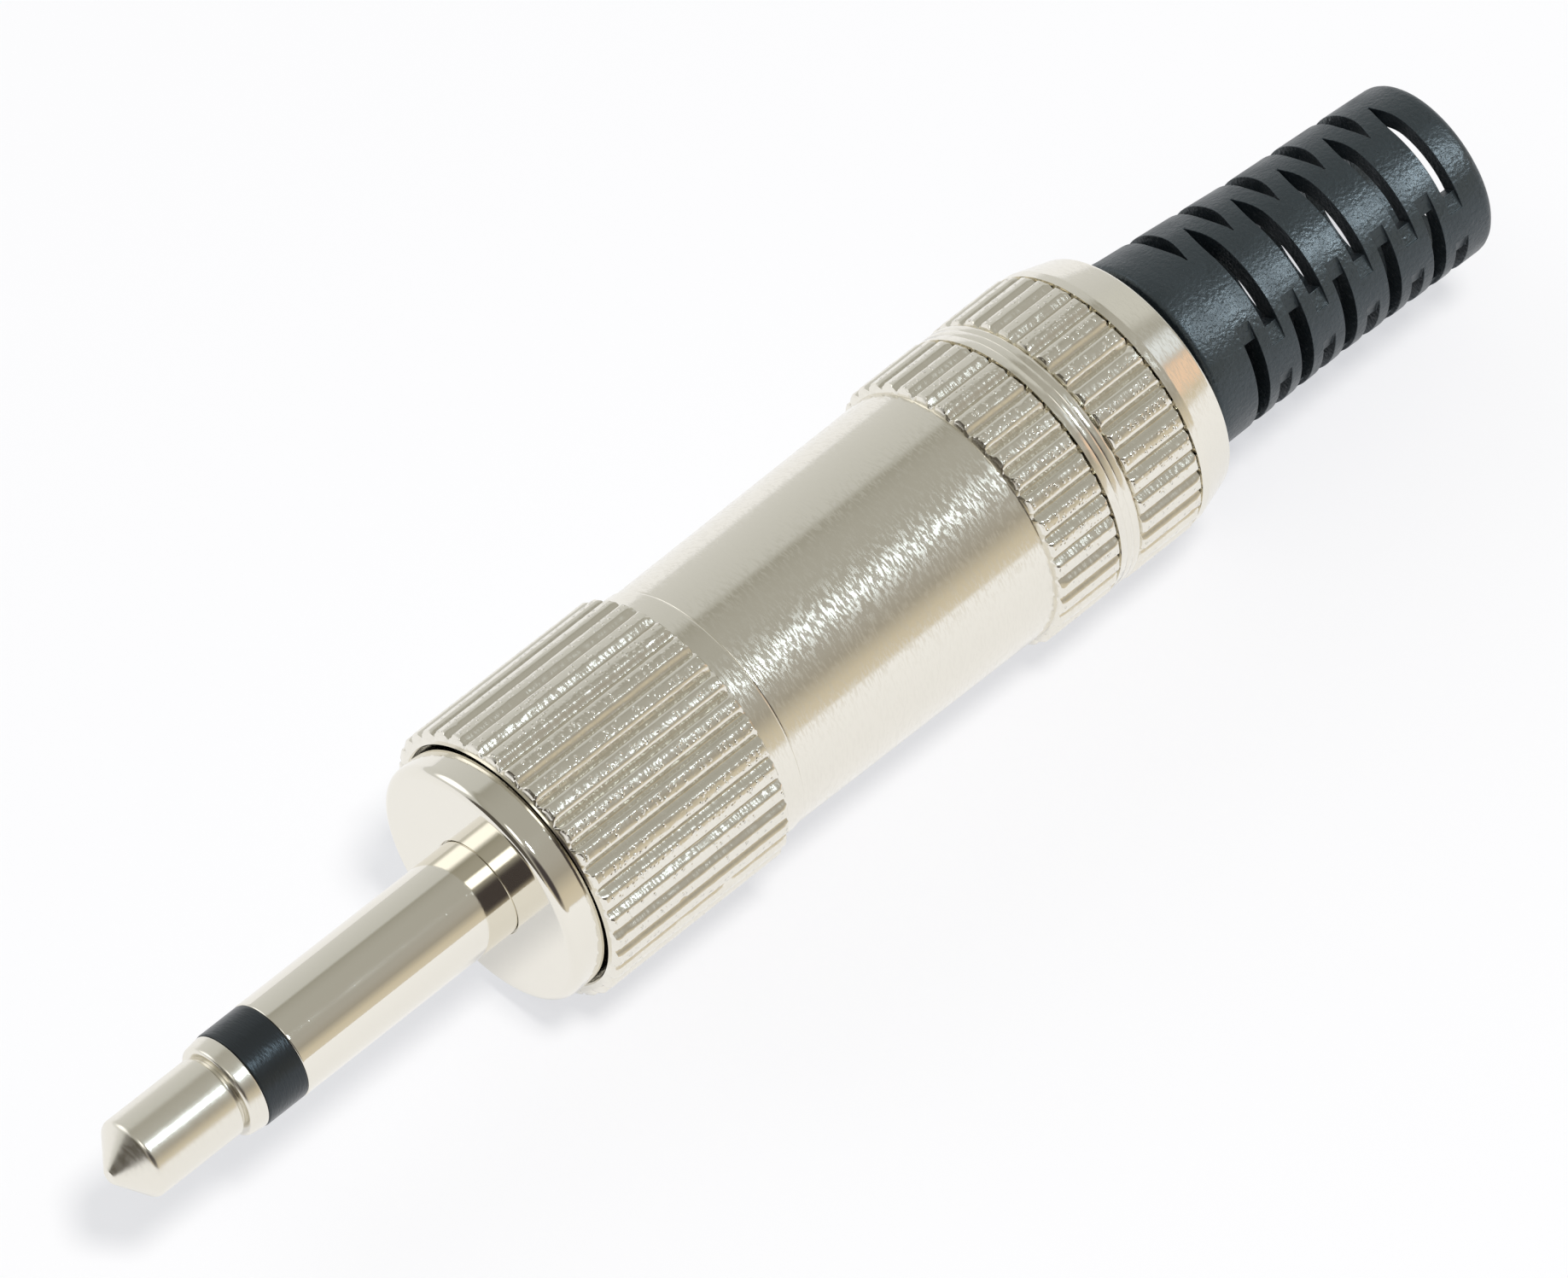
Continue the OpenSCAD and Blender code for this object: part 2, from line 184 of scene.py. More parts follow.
def stand_for(mesh, node, body):
    """Shows the mesh in place of a solid and lets it move with the solid's body."""
    piece = bpy.data.objects.new(mesh.name, mesh)
    bpy.context.scene.collection.objects.link(piece)
    even = piece.modifiers.new("even_normals", "WEIGHTED_NORMAL")
    even.keep_sharp = True
    even.weight = WIDEST_RULE
    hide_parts(node)
    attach(piece, body)
    print(f"{mesh.name}: {len(mesh.polygons)} faces")
    return piece


# %% [markdown]
# ## Tip contact
#
# The tip, its groove, the collar and the stem that runs back to the tip lug are one turned pin.
# The cone ends in a small blunt point, and the collar widens a little towards the black ring.
# Cones and cylinders could be stacked, but one outline gives one skin and each edge its own radius.

# %% Tip
POINT_R = 0.25
POINT_ROUND = 0.12
CONE_LEN = 0.95
CONE_ROUND = 0.25
TIP_R = 1.42
GROOVE_FIRST = 4.3
GROOVE_LAST = 4.45
GROOVE_R = 1.25
GROOVE_EDGE = 0.06
GROOVE_CORNER = 0.02
COLLAR_FRONT_R = 1.63
COLLAR_FRONT_ROUND = 0.14
COLLAR_R = 1.71
COLLAR_EDGE = 0.06
STEM_R = 0.4
HEAD_X = 20.5
HEAD_R = 0.85
HEAD_EDGE = 0.05
HEAD_ROUND = 0.1

ring_first, tube_last, ring_r = span("tip_insulator")
_, tip_last, _ = span("tip_contact")
tip_outline = rounded([
    (0, 0, 0), (0, POINT_R, POINT_ROUND), (CONE_LEN, TIP_R, CONE_ROUND),
    (GROOVE_FIRST, TIP_R, GROOVE_EDGE), (GROOVE_FIRST, GROOVE_R, GROOVE_CORNER),
    (GROOVE_LAST, GROOVE_R, GROOVE_CORNER), (GROOVE_LAST, COLLAR_FRONT_R, COLLAR_FRONT_ROUND),
    (ring_first, COLLAR_R, COLLAR_EDGE), (ring_first, STEM_R, 0),
    (HEAD_X, STEM_R, 0), (HEAD_X, HEAD_R, HEAD_EDGE), (tip_last, HEAD_R, HEAD_ROUND), (tip_last, 0, 0),
])
tip = stand_for(lathe("turned_tip", tip_outline), "tip_contact", "plug")

# %% [markdown]
# ## Insulating ring
#
# The black ring parts the tip from the sleeve and runs on as a thin tube round the stem.
# It is a hair thinner than the sleeve, so a fine step shows at both ends.
# Paint on a longer sleeve would hide that step, so the ring is a piece of its own.

# %% Black ring
CLEARANCE = 0.02
TUBE_R = 0.77
RING_FRONT_EDGE = 0.05
RING_REAR_EDGE = 0.04

sleeve_first, sleeve_last, sleeve_r = span("sleeve_contact")
ring_outline = rounded([
    (ring_first, STEM_R + CLEARANCE, 0), (ring_first, ring_r, RING_FRONT_EDGE),
    (sleeve_first, ring_r, RING_REAR_EDGE), (sleeve_first, TUBE_R, 0),
    (tube_last, TUBE_R, 0), (tube_last, STEM_R + CLEARANCE, 0),
])
ring = stand_for(lathe("insulating_ring", ring_outline), "tip_insulator", "plug")

# %% [markdown]
# ## Sleeve contact
#
# The sleeve is a bright tube that runs straight up to the disc.
# Its thinner shank goes on through the disc, where it is pressed in and hidden.
# A plain tube would look the same, but the step in the outline keeps it true to its solid.

# %% Sleeve
SHOULDER_X = 15.6
SHOULDER_EDGE = 0.02
SHANK_R = 1.45
SLEEVE_EDGE = 0.05

sleeve_outline = rounded([
    (sleeve_first, TUBE_R + CLEARANCE, 0), (sleeve_first, sleeve_r, SLEEVE_EDGE),
    (SHOULDER_X, sleeve_r, SHOULDER_EDGE), (SHOULDER_X, SHANK_R, 0),
    (sleeve_last, SHANK_R, 0), (sleeve_last, TUBE_R + CLEARANCE, 0),
])
sleeve = stand_for(lathe("polished_sleeve", sleeve_outline), "sleeve_contact", "plug")

# %% [markdown]
# ## Front disc
#
# The disc in front of the nose ring is the flange that stops the plug in its socket.
# Its face is flat and polished, its edge is well rounded, and the mouth of its hole is eased.
# The edge mirrors the whole tent in a narrow band, so its arc has more steps than the others.

# %% Disc
FACE_X = 15.5
MOUTH_ROUND = 0.09
DISC_ROUND = 0.35
SEAT_X = 17.7
SEAT_EDGE = 0.05
BOSS_R = 3.4
MIRROR_STEPS = 16

_, web_last, disc_r = span("front_flange")
disc_outline = rounded([
    (SHOULDER_X, SHANK_R + CLEARANCE, 0), (SHOULDER_X, sleeve_r + CLEARANCE, 0),
    (FACE_X, sleeve_r + CLEARANCE, MOUTH_ROUND), (FACE_X, disc_r, DISC_ROUND),
    (SEAT_X, disc_r, SEAT_EDGE), (SEAT_X, BOSS_R, 0),
    (web_last, BOSS_R, 0), (web_last, SHANK_R + CLEARANCE, 0),
], steps=MIRROR_STEPS)
disc = stand_for(lathe("polished_disc", disc_outline), "front_flange", "plug")

# %% [markdown]
# ## Knurls
#
# Straight knurling leaves 36 flat ridges with V grooves between them, the same on all three bands.
# Ridges could be laid on as an array of copies, but those meet the ring in hard seams.
# Here a formula gives the depth at each angle, with edges softened as by plating.
# Each ridge gets a little wear of its own, and some get nicks from handling.

# %% Knurl sizes
RIDGES = 36
KNURL_R = 5.03
KNURL_DEPTH = 0.25
RIDGE_TOP = 0.44
PITCH = math.tau / RIDGES
GROOVE_HALF = (PITCH - RIDGE_TOP / KNURL_R) / 2
GROOVE_FLOOR = 0.16
EDGE_SOFT = 0.32
RIDGE_COLUMNS = 18
KNURLED = [PITCH * i / RIDGE_COLUMNS for i in range(RIDGES * RIDGE_COLUMNS)]
print(f"{RIDGES} ridges, {len(KNURLED)} columns")

# %% Knurl cutter
CHIP_SIZE = (0.06, 0.2)
CHIP_DEPTH = (0.02, 0.06)
WEAR_DEPTH = 0.008
WEAR_ALONG = 5
WEAR_RIDGE = 7.3
WEAR_ACROSS = 60


def knurl_chips(first, last, seed, count):
    """Small nicks on the ridges, as {ridge: [(station, side, size, depth)]}."""
    dice = random.Random(seed)
    chips = {}
    for _ in range(count):
        ridge = dice.randrange(RIDGES)
        station = dice.choice((first, last, dice.uniform(first, last)))
        side = dice.choice((-1, 1)) * RIDGE_TOP / 2
        size = dice.uniform(*CHIP_SIZE)
        depth = dice.uniform(*CHIP_DEPTH)
        chips.setdefault(ridge, []).append((station, side, size, depth))
    return chips


def knurl_radius(x, angle, chips):
    """How far out the metal stands at a place on a knurled band."""
    offset = (angle + PITCH / 2) % PITCH - PITCH / 2
    fall = 1 - math.hypot(offset, GROOVE_FLOOR * GROOVE_HALF) / GROOVE_HALF
    depth = KNURL_DEPTH * (fall + math.hypot(fall, EDGE_SOFT)) / 2
    ridge = math.floor(angle / PITCH) % RIDGES
    across = (angle / PITCH - math.floor(angle / PITCH) - 0.5) * PITCH * KNURL_R
    wear = WEAR_DEPTH * noise.noise(Vector((x * WEAR_ALONG, ridge * WEAR_RIDGE, offset * WEAR_ACROSS)))
    for at, side, size, cut in chips.get(ridge, ()):
        far = math.hypot(x - at, across - side) / size
        if far < 1:
            wear += cut * (1 - far * far)
    return KNURL_R - max(depth + wear, 0)


print(f"grooves about {KNURL_R - knurl_radius(0, 0, {}):.2f} mm deep")

# %% [markdown]
# ## Knurled band
#
# A knurled band starts and ends in a narrow bevel, cut after the knurling, which shows each ridge's end.
# A modifier would bevel all edges alike, so the bevel is drawn as two short steps of the outline.
# Between them the rows stand close together, so that nicks and wear have faces to show on.

# %% Band outline
LIP_R = 4.75
BEVEL = 0.14
BEVEL_BULGE = 0.7
ROW_STEP = 0.12
HAIR = 0.001


def steps_between(start, end, step):
    """Stations from start to end, about a step apart."""
    count = max(1, round((end - start) / step))
    return [start + (end - start) * i / count for i in range(count + 1)]


def knurl_outline(first, last):
    """Rows of a knurled band with bevelled ends, a hair behind the row before it."""
    first += HAIR
    bevel_r = LIP_R + (KNURL_R - LIP_R) * BEVEL_BULGE
    front = [(first, LIP_R), (first + BEVEL / 2, bevel_r)]
    ridges = [(x, KNURL_R) for x in steps_between(first + BEVEL, last - BEVEL, ROW_STEP)]
    return front + ridges + [(last - BEVEL / 2, bevel_r), (last, LIP_R)]


print(f"bevels {BEVEL} mm long, rows {ROW_STEP} mm apart")

# %% [markdown]
# ## Nose ring
#
# The nose ring holds the disc in its front recess and takes the barrel's thread at the back.
# The ridges start behind a narrow lip and end at a plain polished land.
# Lip, ridges, land and bore are one outline, so that nothing has to be joined.

# %% Nose ring
LIP_STEP = 0.03
RECESS_R = 4.525
RECESS_BEVEL = 0.05
LAND_X = 24.2
LAND_R = 4.65
LAND_EDGE = 0.06
WEB_X = 18.7
NOSE_THREAD_R = 3.95
NOSE_MOUTH_EDGE = 0.05

nose_first, nose_last, _ = span("nose_ring")
nose_chips = knurl_chips(nose_first, LAND_X, seed=11, count=60)


def nose_cut(x, angle):
    """Ridges up to the land, and nothing cut behind it."""
    return knurl_radius(x, angle, nose_chips) if nose_first < x <= LAND_X else KNURL_R


lip = [(nose_first, RECESS_R + RECESS_BEVEL), (nose_first, LIP_R - LIP_STEP)]
land = rounded([
    (LAND_X + 2 * HAIR, LAND_R, 0), (nose_last, LAND_R, LAND_EDGE),
    (nose_last, NOSE_THREAD_R, NOSE_MOUTH_EDGE),
])
recess = [
    (WEB_X, NOSE_THREAD_R), (WEB_X, BOSS_R + CLEARANCE), (SEAT_X, BOSS_R + CLEARANCE),
    (SEAT_X, RECESS_R), (nose_first + RECESS_BEVEL, RECESS_R),
]
nose_outline = lip + knurl_outline(nose_first, LAND_X) + land + recess
nose = stand_for(
    lathe("knurled_nose", nose_outline, KNURLED, nose_cut), "nose_ring", "plug")

# %% [markdown]
# ## Screw thread
#
# The barrel's front end and the cap's front end carry a fine thread that shows once they are unscrewed.
# Stacked rings would pass for a thread from afar, but a real one climbs as it turns.
# So the cutter's depth follows a helix, and it fades out at both ends.

# %% Thread cutter
THREAD_PITCH = 0.75
THREAD_DEPTH = 0.3
THREAD_ROWS = 10
FLANK_SLOPE = 1.6
CREST_FLAT = 0.2
THREAD_START = 0.25
THREAD_RUN_OUT = 0.35
UNDERCUT = 0.35
SPIGOT_BEVEL = 0.1
LAST_ROW = 0.02


def thread_radius(x, angle, crest, first, last):
    """A right-hand thread that runs out at both ends."""
    turn = (x / THREAD_PITCH - angle / math.tau) % 1
    tooth = min(1, max(0, FLANK_SLOPE * abs(2 * turn - 1) - CREST_FLAT))
    fade = min(1, max(0, (x - first) / THREAD_START), max(0, (last - x) / THREAD_RUN_OUT))
    return crest - THREAD_DEPTH * tooth * fade


def spigot_outline(first, shoulder, crest):
    """Rows of a threaded end, close enough together to show the thread."""
    rows = steps_between(first + SPIGOT_BEVEL, shoulder - LAST_ROW, THREAD_PITCH / THREAD_ROWS)
    return [(first, crest - SPIGOT_BEVEL)] + [(x, crest) for x in rows]


def screw_cut(x, angle, first, shoulder, crest, band, chips):
    """A thread before the shoulder, ridges on the band and nothing cut elsewhere."""
    if x < shoulder - LAST_ROW / 2:
        return thread_radius(x, angle, crest, first, shoulder - UNDERCUT)
    if band[0] < x <= band[1]:
        return knurl_radius(x, angle, chips)
    return KNURL_R


print(f"thread: {THREAD_PITCH} mm to the turn, {THREAD_ROWS} rows to a turn")

# %% [markdown]
# ## Barrel
#
# The satin barrel widens a little towards its own knurled band, which ends at a plain ring.
# Two fine lines run round that ring.
# A texture could fake them, but real grooves catch the light on one side and lose it on the other.

# %% Barrel sizes
SPIGOT_R = 3.9
SHOULDER_R = 4.59
FRONT_EDGE = 0.07
BAND_X = 36.2
BAND_R = 4.71
PLAIN_X = 38.9
PLAIN_R = 4.97
FINE_LINES = (39.2, 39.48)
LINE_HALF = 0.02
LINE_DEPTH = 0.012
PLAIN_ROUND = 0.3
BORE_R = 3.5
CAP_SEAT_X = 36.35
CAP_SEAT_R = 4.2
SEAT_MOUTH_EDGE = 0.05
barrel_first, barrel_last, _ = span("barrel")
print(f"barrel from {barrel_first:.2f} to {barrel_last:.2f} mm")

# %% Barrel
band_chips = knurl_chips(BAND_X, PLAIN_X, seed=23, count=26)


def barrel_cut(x, angle):
    """The thread of the spigot and the ridges of the band."""
    return screw_cut(x, angle, barrel_first, nose_last, SPIGOT_R, (BAND_X, PLAIN_X), band_chips)


flare = rounded([(nose_last, SPIGOT_R, 0), (nose_last, SHOULDER_R, FRONT_EDGE), (BAND_X, BAND_R, 0)])
plain_corners = [(PLAIN_X + 2 * HAIR, PLAIN_R, 0)]
for x in FINE_LINES:
    plain_corners += [
        (x - LINE_HALF, PLAIN_R, 0), (x, PLAIN_R - LINE_DEPTH, 0), (x + LINE_HALF, PLAIN_R, 0)]
plain_corners += [(barrel_last, PLAIN_R, PLAIN_ROUND), (barrel_last, CAP_SEAT_R, SEAT_MOUTH_EDGE)]
barrel_outline = (
    [(barrel_first, BORE_R)] + spigot_outline(barrel_first, nose_last, SPIGOT_R) + flare
    + knurl_outline(BAND_X, PLAIN_X) + rounded(plain_corners)
    + [(CAP_SEAT_X, CAP_SEAT_R), (CAP_SEAT_X, BORE_R)]
)
barrel = stand_for(
    lathe("satin_barrel", barrel_outline, KNURLED, barrel_cut), "barrel", "barrel")

# %% [markdown]
# ## Rear cap
#
# The cap screws into the back of the barrel and holds the boot by its flange.
# Its grooves are closed by a plain rim, which tapers to a small round edge.
# It is made like the barrel, from a threaded end, a band and a rim in one outline.

# %% Cap
CAP_X = 39.85
CAP_SPIGOT_R = 4.15
CAP_BORE_R = 3.7
CAP_FLOOR_X = 43.2
CAP_HOLE_R = 3.23
CAP_HOLE_EDGE = 0.08
RIM_X = 42.6
RIM_R = 4.96
RIM_FLAT_X = 42.9
RIM_ROUND = 0.25
CAP_END_R = 4.55
CAP_END_ROUND = 0.15

cap_first, cap_last, _ = span("rear_cap")
cap_chips = knurl_chips(CAP_X, RIM_X, seed=37, count=26)


def cap_cut(x, angle):
    """The thread of the spigot and the ridges of the band."""
    return screw_cut(x, angle, cap_first, CAP_X, CAP_SPIGOT_R, (CAP_X, RIM_X), cap_chips)


rim = rounded([
    (RIM_X + 2 * HAIR, RIM_R, 0), (RIM_FLAT_X, RIM_R, RIM_ROUND), (cap_last, CAP_END_R, CAP_END_ROUND),
    (cap_last, CAP_HOLE_R, CAP_HOLE_EDGE), (CAP_FLOOR_X, CAP_HOLE_R, 0), (CAP_FLOOR_X, CAP_BORE_R, 0),
    (cap_first, CAP_BORE_R, 0),
])
cap_outline = (
    spigot_outline(cap_first, CAP_X, CAP_SPIGOT_R) + [(CAP_X, CAP_SPIGOT_R)]
    + knurl_outline(CAP_X, RIM_X) + rim
)
cap = stand_for(
    lathe("knurled_cap", cap_outline, KNURLED, cap_cut), "rear_cap", "rear_cap")

# %% [markdown]
# ## Boot
#
# The moulded boot bends where rings of staggered slots go through its wall, three to a ring.
# Slot ends near the mould's seam are square with a shallow relief, and the others run out to a point.
# Booleans could cut the slots, but they leave long thin faces that no bevel can round.
# So the wall is built as a grid of cells that are full, shallow or open, and a bevel rounds its edges.

# %% Boot sizes
BOOT_X = 44.7
BOOT_LEAN = math.radians(3.2)
BOOT_LEN = 12.8
SKIN = ((0, 3.65), (6.4, 3.32), (BOOT_LEN, 3.2))
FLANGE_FIRST = -2.7
FLANGE_LAST = -1.53
FLANGE_R = 3.5
NECK_R = 3.13
CABLE_R = 2.55
THROAT_R = 2.75
THROAT_LAST = 0.5


def skin_r(s):
    """Radius of the skin, which tapers in two straight stretches."""
    (s0, r0), (s1, r1) = SKIN[:2] if s < SKIN[1][0] else SKIN[1:]
    return r0 + (r1 - r0) * (s - s0) / (s1 - s0)


def boot_point(s, r, degrees):
    """A point of the leaning boot, whose stations are counted from just behind the cap."""
    angle = math.radians(degrees)
    arm = Vector((s, r * math.sin(angle), -r * math.cos(angle))) * MM
    return on_axis(BOOT_X, 0, 0) + Matrix.Rotation(-BOOT_LEAN, 3, "Z") @ arm


print(f"boot: {BOOT_LEN} mm long, leans {math.degrees(BOOT_LEAN):.1f} degrees")

# %% [markdown]
# ## Columns of the boot's grid
#
# A grid line has to run along every end of a slot and of a relief, or the ends would be ragged.
# Evenly spaced columns would need to be very fine for that.
# So the ends are collected first, and columns are filled in between them until the wall is round.

# %% Slot sizes and columns
SLOTS = 3
SLOT_PITCH = 360 / SLOTS
SLOT_HALVES = (31.5, 38.5)
SLOT_START = 26
SLOT_TURN = 48
RELIEF_ARC = 11
COLUMN_STEP = 4


def boot_columns():
    """Angles in degrees: both rows' slot and relief ends, and enough between them to stay round."""
    ends = set()
    for start, half in zip((SLOT_START, SLOT_START + SLOT_TURN), SLOT_HALVES):
        for reach in (half, half + RELIEF_ARC):
            ends |= {(start - reach) % SLOT_PITCH, (start + reach) % SLOT_PITCH}
    marks = sorted(ends)
    marks.append(marks[0] + SLOT_PITCH)
    third = []
    for a, b in zip(marks, marks[1:]):
        third += steps_between(a, b, COLUMN_STEP)[:-1]
    return [k * SLOT_PITCH + a for k in range(SLOTS) for a in third]


columns = boot_columns()
print(f"boot grid: {len(columns)} columns")

# %% [markdown]
# ## Rows of the boot's grid
#
# Along the boot the rows follow its neck, the rounded front edge, the two sides of each ring of slots
# and the rounded end.
# The front edge stands a little back from the cap, which leaves the dark gap that shows between them.

# %% Rows
FRONT_GAP = 0.3
FRONT_ROUND = 0.18
FRONT_STEPS = 4
PLAIN_ROW = 1.0
SLOT_RINGS = 10
SLOT_FIRST = 2.27
SLOT_STEP = 1.0
SLOT_W = 0.55
END_ROUND = 0.4
END_STEPS = 5


def quarter(steps):
    """Angles of a quarter turn, in radians."""
    return [math.radians(90 * k / steps) for k in range(steps + 1)]


def boot_rows():
    """Rows of the skin as (station, radius, ring of slots that starts or ends there, or None)."""
    rows = [
        (FLANGE_FIRST, FLANGE_R, None), (FLANGE_LAST, FLANGE_R, None),
        (FLANGE_LAST, NECK_R, None), (FRONT_GAP, NECK_R, None),
    ]
    for a in quarter(FRONT_STEPS):
        front_s = FRONT_GAP + FRONT_ROUND * (1 - math.cos(a))
        rows.append((front_s, SKIN[0][1] - FRONT_ROUND * (1 - math.sin(a)), None))
    rows.append((PLAIN_ROW, skin_r(PLAIN_ROW), None))
    for k in range(SLOT_RINGS):
        middle = SLOT_FIRST + k * SLOT_STEP
        for s in (middle - SLOT_W / 2, middle + SLOT_W / 2):
            rows.append((s, skin_r(s), k))
    edge_s, edge_r = BOOT_LEN - END_ROUND, skin_r(BOOT_LEN) - END_ROUND
    for a in quarter(END_STEPS):
        rows.append((edge_s + END_ROUND * math.sin(a), edge_r + END_ROUND * math.cos(a), None))
    return rows


rows = boot_rows()
print(f"boot grid: {len(rows)} rows")

# %% [markdown]
# ## Ends of the slots
#
# The mould opens along a seam, and next to it the slots end square in a shallow step.
# Farther round they run out to a point.
# Two kinds of cutter would do, but both shapes follow from how far an angle lies past its slot's end.

# %% Slot ends
FULL, SHALLOW, OPEN = 2, 1, 0
RELIEF_DEPTH = 0.15
RELIEF_FLAT = 0.25
SEAM = 60
SEAM_REACH = 60
POINT_ARC = 26
POINT_W = 0.12
END_SLACK = 1


def past_slot(ring, degrees):
    """How far past the ring's nearest slot end an angle lies, and whether that end is near the seam."""
    centre = SLOT_START + (ring % 2) * SLOT_TURN
    off = (degrees - centre + SLOT_PITCH / 2) % SLOT_PITCH - SLOT_PITCH / 2
    end = degrees - off + math.copysign(SLOT_HALVES[ring % 2], off)
    by_seam = abs(math.cos(math.radians(end - SEAM))) > math.cos(math.radians(SEAM_REACH))
    return abs(off) - SLOT_HALVES[ring % 2], by_seam


def cell_level(ring, ring_behind, degrees):
    """How much of the wall stands in a cell between two rows."""
    if ring is None or ring != ring_behind:
        return FULL
    past, by_seam = past_slot(ring, degrees)
    return OPEN if past < 0 else SHALLOW if past < RELIEF_ARC and by_seam else FULL


def relief(ring, degrees):
    """Depth of the relief, which runs out away from its slot."""
    left = 1 - past_slot(ring, degrees)[0] / RELIEF_ARC
    return RELIEF_DEPTH * min(1, max(0, RELIEF_FLAT + left))


def pointed(s, ring, degrees):
    """A row's station drawn in towards its slot's middle, where the slot runs out to a point."""
    past, by_seam = past_slot(ring, degrees)
    if by_seam or past > END_SLACK:
        return s
    share = min(1, max(0, -past / POINT_ARC))
    middle = SLOT_FIRST + ring * SLOT_STEP
    return middle + (s - middle) * max(POINT_W, math.sin(share * math.pi / 2))


next_columns = columns[1:] + [columns[0] + 360]
middles = [(a + b) / 2 for a, b in zip(columns, next_columns)]
levels = [[cell_level(row[2], behind[2], a) for a in middles] for row, behind in zip(rows, rows[1:])]
print(f"open cells: {sum(line.count(OPEN) for line in levels)}")

# %% [markdown]
# ## Wall of the boot
#
# Every cell that stands gets a face outside and one in the bore, and a wall goes up wherever two
# neighbours stand at different heights.
# Corners are shared between cells, so the wall is closed without welding it afterwards.

# %% Corners and walls
spot, points, faces = {}, [], []


def corner(i, j, level):
    """Index of a grid corner at a level: bore, relief floor or skin."""
    j %= len(columns)
    s, r, ring = rows[i]
    key = (round(s, 4), j, OPEN) if level == OPEN else (i, j, level)
    if key not in spot:
        bore = THROAT_R if s < THROAT_LAST else CABLE_R
        if ring is not None:
            s = pointed(s, ring, columns[j])
        spot[key] = len(points)
        floor_r = r - relief(ring, columns[j]) if level == SHALLOW else r
        points.append(boot_point(s, bore if level == OPEN else floor_r, columns[j]))
    return spot[key]


def wall(a, b, one, other):
    """Faces between two levels along the edge from grid corner a to b."""
    for low in range(min(one, other), max(one, other)):
        faces.append((corner(*a, low), corner(*b, low), corner(*b, low + 1), corner(*a, low + 1)))


for i, line in enumerate(levels):
    for j, level in enumerate(line):
        square = ((i, j), (i, j + 1), (i + 1, j + 1), (i + 1, j))
        if level != OPEN:
            faces.append([corner(*c, level) for c in square])
            if rows[i][0] != rows[i + 1][0]:
                faces.append([corner(*c, OPEN) for c in square])
        wall((i, j + 1), (i + 1, j + 1), level, line[(j + 1) % len(line)])
        if i + 1 < len(levels):
            wall((i + 1, j), (i + 1, j + 1), level, levels[i + 1][j])
for i in (0, len(rows) - 1):
    for j in range(len(columns)):
        ends = (corner(i, j, OPEN), corner(i, j + 1, OPEN), corner(i, j + 1, FULL), corner(i, j, FULL))
        faces.append(ends)
print(f"boot wall: {len(points)} corners, {len(faces)} faces")

# %% [markdown]
# ## Moulded edges
#
# Moulded plastic has small round edges everywhere, and they draw the pale lines along the slots.
# The grid has far too many edges for arcs of its own, so here a bevel modifier is the better tool.
# It has to come before the weighted normals, which then smooth what it made.

# %% Boot piece
MOULDED_ROUND = 0.06
MOULDED_STEPS = 3
EDGE_ABOVE = math.radians(35)

boot = stand_for(clean_mesh("slotted_boot", points, faces), "boot", "boot")
soften = boot.modifiers.new("moulded_edges", "BEVEL")
soften.width = MOULDED_ROUND * MM
soften.segments = MOULDED_STEPS
soften.limit_method = "ANGLE"
soften.angle_limit = EDGE_ABOVE
boot.modifiers.move(1, 0)
print("boot modifiers:", ", ".join(modifier.name for modifier in boot.modifiers))

# %% [markdown]
# ## Effects on the surfaces
#
# Plated metal is never perfectly even: the tool leaves fine rings, plating a grain and handling scratches.
# Pictures wrapped round the pieces could carry such marks, but they blur in close-up.
# Each effect is a node group that reads its place in millimetres, so every material that uses it
# shows it at its real size.


# %% Groups and sums
def group(name, inputs, outputs):
    """A shader node group with float sockets; inputs are (name, default)."""
    tree = bpy.data.node_groups.new(name, "ShaderNodeTree")
    for label, default in inputs:
        socket = tree.interface.new_socket(label, in_out="INPUT", socket_type="NodeSocketFloat")
        socket.default_value = default
    for label in outputs:
        tree.interface.new_socket(label, in_out="OUTPUT", socket_type="NodeSocketFloat")
    return tree, tree.nodes.new("NodeGroupInput"), tree.nodes.new("NodeGroupOutput")


def feed(tree, socket, value):
    """Links a socket to another, or sets it to a plain value; None leaves it alone."""
    if isinstance(value, bpy.types.NodeSocket):
        tree.links.new(value, socket)
    elif value is not None:
        socket.default_value = value


def math_node(tree, operation, a, b=None, clamp=False):
    """Result of one sum on numbers or sockets."""
    node = tree.nodes.new("ShaderNodeMath")
    node.operation = operation
    node.use_clamp = clamp
    feed(tree, node.inputs[0], a)
    feed(tree, node.inputs[1], b)
    return node.outputs[0]


def vector_node(tree, operation, a, b=None):
    """One sum on vectors; the caller takes its Vector or its Value."""
    node = tree.nodes.new("ShaderNodeVectorMath")
    node.operation = operation
    feed(tree, node.inputs[0], a)
    feed(tree, node.inputs[1], b)
    return node.outputs


# %% Places, noise and smooth steps
def in_mm(tree, stretch=(1, 1, 1)):
    """Place on the piece in mm, stretched along the axis and across it."""
    place = tree.nodes.new("ShaderNodeTexCoord")
    scale = tree.nodes.new("ShaderNodeMapping")
    scale.inputs["Scale"].default_value = [s / MM for s in stretch]
    scale.inputs["Location"].default_value = (0, 0, -AXIS_Z / MM * stretch[2])
    tree.links.new(place.outputs["Object"], scale.inputs["Vector"])
    return scale.outputs["Vector"]


def noise_node(tree, vector, detail, scale=1.0):
    """Noise over a place in mm; the scale is a number or a socket."""
    node = tree.nodes.new("ShaderNodeTexNoise")
    node.inputs["Detail"].default_value = detail
    feed(tree, node.inputs["Scale"], scale)
    tree.links.new(vector, node.inputs["Vector"])
    return node.outputs[0]


def ramp(tree, value, low, high):
    """A smooth step from 0 at the low end to 1 at the high end."""
    node = tree.nodes.new("ShaderNodeMapRange")
    node.interpolation_type = "SMOOTHSTEP"
    node.inputs["From Min"].default_value = low
    node.inputs["From Max"].default_value = high
    tree.links.new(value, node.inputs["Value"])
    return node.outputs["Result"]


